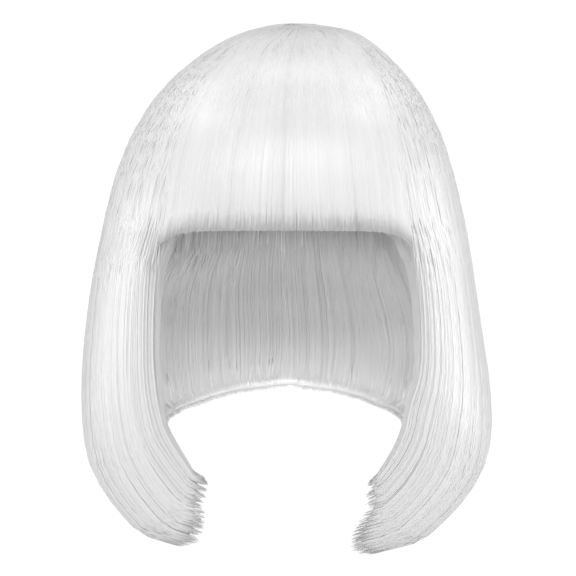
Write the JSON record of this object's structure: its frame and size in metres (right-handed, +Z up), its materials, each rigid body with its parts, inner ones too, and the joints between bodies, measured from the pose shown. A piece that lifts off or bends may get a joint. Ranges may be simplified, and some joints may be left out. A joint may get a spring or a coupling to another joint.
{
  "type": "cosplay wig",
  "caption": "Straight white bob wig with a full fringe, long side locks that curl in at the ends and a shorter back, on a plain cap that fits a head.",
  "frame": {"origin": "where the crown of the head meets the inside of the cap", "axes": "+Z up, the face opening looks along -Y, +X to the right of a viewer who faces the wig"},
  "size_m": [0.2458, 0.2388, 0.3154],
  "materials": {
    "white_fibre": "silky straight synthetic fibre",
    "cap_cloth": "matte elastic net"
  },
  "bodies": {
    "root": {"cap": "cap_cloth", "crown": "white_fibre", "fringe": "white_fibre", "side_lock_left": "white_fibre", "side_lock_right": "white_fibre", "back_hair": "white_fibre"}
  },
  "joints": []
}
